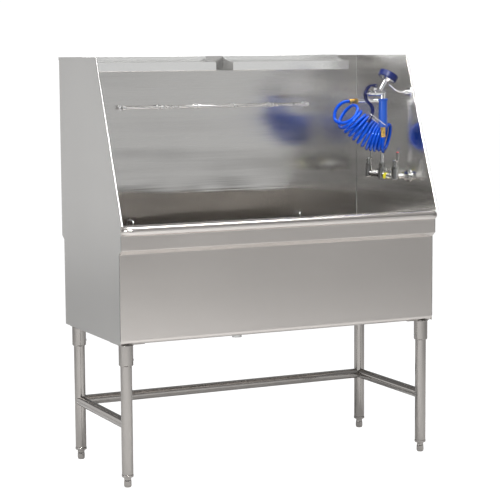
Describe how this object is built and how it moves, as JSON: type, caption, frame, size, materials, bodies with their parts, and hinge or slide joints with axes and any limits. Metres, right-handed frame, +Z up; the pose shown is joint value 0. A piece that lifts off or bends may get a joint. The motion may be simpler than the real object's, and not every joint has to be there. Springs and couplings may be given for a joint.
{
  "type": "pet bathtub",
  "caption": "Raised stainless steel pet bathtub on legs with side and back splash panels, lift-off shelves, tether bar, faucet, coiled hose and hand sprayer.",
  "frame": {"origin": "centre of the footprint, on the floor the feet stand on", "axes": "+X to the right of a person facing the tub, +Y from the front rim to the back splash, +Z up"},
  "size_m": [1.294, 0.652, 1.5239],
  "materials": {
    "panel_steel": "number 4 brushed stainless steel",
    "stand_steel": "bright stainless tube",
    "screw_steel": "plain stainless fastener",
    "shelf_steel": "polished stainless sheet",
    "chrome": "polished chrome plate",
    "drain_steel": "spun stainless",
    "brass": "machined brass",
    "gasket_rubber": "soft black rubber",
    "hose_blue": "glossy polyurethane hose",
    "grip_blue": "satin blue sleeve",
    "navy_rubber": "navy moulded rubber",
    "navy_lever": "navy dipped coating",
    "index_red": "red index cap",
    "index_blue": "blue index cap"
  },
  "bodies": {
    "tub": {"tub_bowl": "panel_steel", "front_rim": "panel_steel", "back_splash": "panel_steel", "left_side_panel": "panel_steel", "right_side_panel": "panel_steel", "gusset_plates": "stand_steel", "leg_sockets": "stand_steel", "front_left_leg": "stand_steel", "front_right_leg": "stand_steel", "back_left_leg": "stand_steel", "back_right_leg": "stand_steel", "rear_brace": "stand_steel", "left_brace": "stand_steel", "right_brace": "stand_steel", "leg_inserts": "stand_steel", "socket_screws": "screw_steel", "rear_nuts": "screw_steel", "tether_bar": "chrome", "bar_standoffs": "chrome", "tether_loops": "chrome", "faucet_body": "chrome", "wall_flanges": "chrome", "valve_bonnets": "chrome", "riser_tube": "chrome", "riser_nut": "chrome", "outlet_nut": "chrome", "hook_plate": "chrome", "hook_rod": "chrome", "outlet_sleeve": "chrome", "drain_body": "drain_steel", "drain_locknut": "drain_steel", "drain_coupling_nut": "drain_steel", "drain_tailpiece": "drain_steel", "supply_shanks": "brass", "shank_locknuts": "brass", "hose_start_fitting": "brass", "drain_gasket": "gasket_rubber", "hose_lead": "hose_blue", "hose_coil": "hose_blue", "hose_tail": "hose_blue"},
    "left_shelf": {"left_shelf": "shelf_steel"},
    "right_shelf": {"right_shelf": "shelf_steel"},
    "foot_front_left": {"front_left_foot": "stand_steel"},
    "foot_front_right": {"front_right_foot": "stand_steel"},
    "foot_back_left": {"back_left_foot": "stand_steel"},
    "foot_back_right": {"back_right_foot": "stand_steel"},
    "basket": {"drain_basket": "drain_steel"},
    "hot_lever": {"hot_handle": "chrome", "hot_index": "index_red"},
    "cold_lever": {"cold_handle": "chrome", "cold_index": "index_blue"},
    "sprayer": {"sprayer_body": "chrome", "sprayer_grip": "grip_blue", "bumper_ring": "navy_rubber", "spray_face": "chrome", "hose_end_fitting": "brass", "lever_pin": "screw_steel"},
    "lever": {"squeeze_lever": "navy_lever"},
    "plunger": {"valve_plunger": "chrome"},
    "ring": {"hold_ring": "brass"}
  },
  "joints": [
    {"name": "left_shelf_lift", "type": "slide", "parent": "tub", "child": "left_shelf", "axis": [0, 0, 1], "range_m": [0, 0.06]},
    {"name": "right_shelf_lift", "type": "slide", "parent": "tub", "child": "right_shelf", "axis": [0, 0, 1], "range_m": [0, 0.06]},
    {"name": "front_left_foot_adjust", "type": "slide", "parent": "tub", "child": "foot_front_left", "axis": [0, 0, -1], "range_m": [0, 0.025]},
    {"name": "front_right_foot_adjust", "type": "slide", "parent": "tub", "child": "foot_front_right", "axis": [0, 0, -1], "range_m": [0, 0.025]},
    {"name": "back_left_foot_adjust", "type": "slide", "parent": "tub", "child": "foot_back_left", "axis": [0, 0, -1], "range_m": [0, 0.025]},
    {"name": "back_right_foot_adjust", "type": "slide", "parent": "tub", "child": "foot_back_right", "axis": [0, 0, -1], "range_m": [0, 0.025]},
    {"name": "basket_lift", "type": "slide", "parent": "tub", "child": "basket", "axis": [0, 0, 1], "range_m": [0, 0.05]},
    {"name": "hot_turn", "type": "hinge", "parent": "tub", "child": "hot_lever", "pos_m": [0.574, -0.0956, 1.106], "axis": [0, 0, 1], "range_deg": [0, 90]},
    {"name": "cold_turn", "type": "hinge", "parent": "tub", "child": "cold_lever", "pos_m": [0.574, 0.1076, 1.106], "axis": [0, 0, -1], "range_deg": [0, 90]},
    {"name": "sprayer_lift", "type": "slide", "parent": "tub", "child": "sprayer", "axis": [0, 0, 1], "range_m": [0, 0.06]},
    {"name": "lever_squeeze", "type": "hinge", "parent": "sprayer", "child": "lever", "pos_m": [0.471, -0.118, 1.406], "axis": [0, -1, 0], "range_deg": [0, 6.5], "stiffness_Nm_per_rad": 0.6, "springref_deg": -22.92},
    {"name": "plunger_push", "type": "slide", "parent": "sprayer", "child": "plunger", "axis": [1, 0, 0], "range_m": [0, 0.004]},
    {"name": "ring_swing", "type": "hinge", "parent": "sprayer", "child": "ring", "pos_m": [0.508, -0.118, 1.256], "axis": [0, -1, 0], "range_deg": [0, 35]}
  ],
  "couplings": [
    {"joint": "plunger_push", "follows": "lever_squeeze", "m_per_rad": 0.0325}
  ]
}
